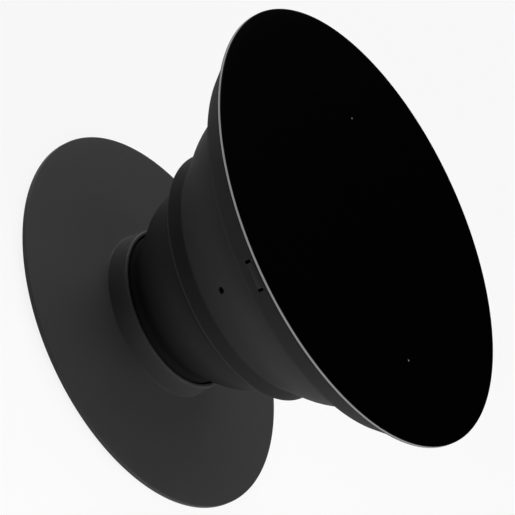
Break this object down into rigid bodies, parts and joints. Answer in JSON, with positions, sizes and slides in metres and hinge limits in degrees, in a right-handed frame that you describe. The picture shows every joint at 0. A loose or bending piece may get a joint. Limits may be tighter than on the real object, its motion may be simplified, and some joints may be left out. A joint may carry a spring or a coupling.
{
  "type": "collapsible phone grip",
  "caption": "Round stick-on grip for a phone: flat base with a raised collar, soft stepped bellows that folds flat and swivels, and a gloss black metal disc as its face.",
  "frame": {"origin": "middle of the adhesive face, on the axis of the disc", "axes": "+Z along the axis from the adhesive face to the disc face; the vent hole and one clip face -Y"},
  "size_m": [0.04, 0.04, 0.0236],
  "materials": {
    "foam_tape": "matte",
    "base_polycarbonate": "fine satin",
    "soft_polyurethane": "satin",
    "button_polycarbonate": "fine satin",
    "coated_aluminium": "gloss black coat, bare cut edge"
  },
  "bodies": {
    "base": {"adhesive_pad": "foam_tape", "base_plate": "base_polycarbonate"},
    "bellows_foot": {"foot_plug": "base_polycarbonate", "bellows": "soft_polyurethane"},
    "face": {"button": "button_polycarbonate", "clip_plate": "button_polycarbonate", "face_disc": "coated_aluminium"}
  },
  "joints": [
    {"name": "swivel", "type": "hinge", "parent": "base", "child": "bellows_foot", "pos_m": [0, 0, 0.0036], "axis": [0, 0, 1], "continuous": true},
    {"name": "collapse", "type": "slide", "parent": "bellows_foot", "child": "face", "axis": [0, 0, 1], "range_m": [-0.016, 0], "deforming": ["bellows"]}
  ]
}
